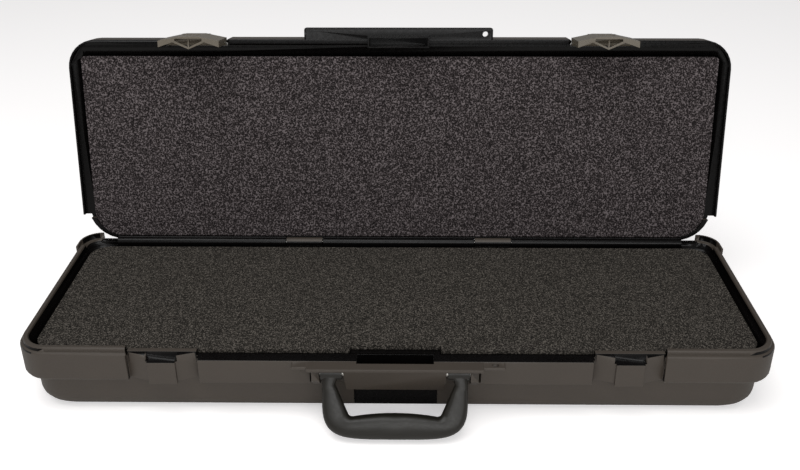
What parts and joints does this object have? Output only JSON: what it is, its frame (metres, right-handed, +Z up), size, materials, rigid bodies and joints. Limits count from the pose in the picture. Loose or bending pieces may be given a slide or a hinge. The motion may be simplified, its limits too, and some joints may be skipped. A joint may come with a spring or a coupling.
{
  "type": "blow molded case",
  "caption": "Long plastic carrying case standing open, with foam pads in base and lid, snap latches, a rod hinge and a swinging carry handle.",
  "frame": {"origin": "middle of the base's flat underside", "axes": "+X along the case's length, +Y from the handle to the hinge, +Z up"},
  "size_m": [0.72, 0.3574, 0.304],
  "materials": {
    "shell_plastic": "fine grained, satin",
    "handle_plastic": "satin",
    "latch_plastic": "satin",
    "foam": "open cell polyurethane foam",
    "steel": "drawn wire"
  },
  "bodies": {
    "base": {"base_shell": "shell_plastic", "base_foam": "foam", "handle_pin_left": "steel", "handle_pin_right": "steel", "hinge_rod": "steel"},
    "lid": {"lid_shell": "shell_plastic", "lid_foam": "foam", "latch_pin_left": "steel", "latch_pin_right": "steel"},
    "bail": {"handle": "handle_plastic"},
    "left_latch": {"latch_left": "latch_plastic"},
    "right_latch": {"latch_right": "latch_plastic"}
  },
  "joints": [
    {"name": "lid_hinge", "type": "hinge", "parent": "base", "child": "lid", "pos_m": [0, 0.1105, 0.069], "axis": [1, 0, 0], "range_deg": [0, 101.2]},
    {"name": "handle_swing", "type": "hinge", "parent": "base", "child": "bail", "pos_m": [0, -0.124, 0.057], "axis": [-1, 0, 0], "range_deg": [-28, 60]},
    {"name": "latch_left_turn", "type": "hinge", "parent": "lid", "child": "left_latch", "pos_m": [-0.219, 0.16392, 0.28575], "axis": [-1, 0, 0], "range_deg": [0, 85]},
    {"name": "latch_right_turn", "type": "hinge", "parent": "lid", "child": "right_latch", "pos_m": [0.219, 0.16392, 0.28575], "axis": [-1, 0, 0], "range_deg": [0, 85]}
  ]
}
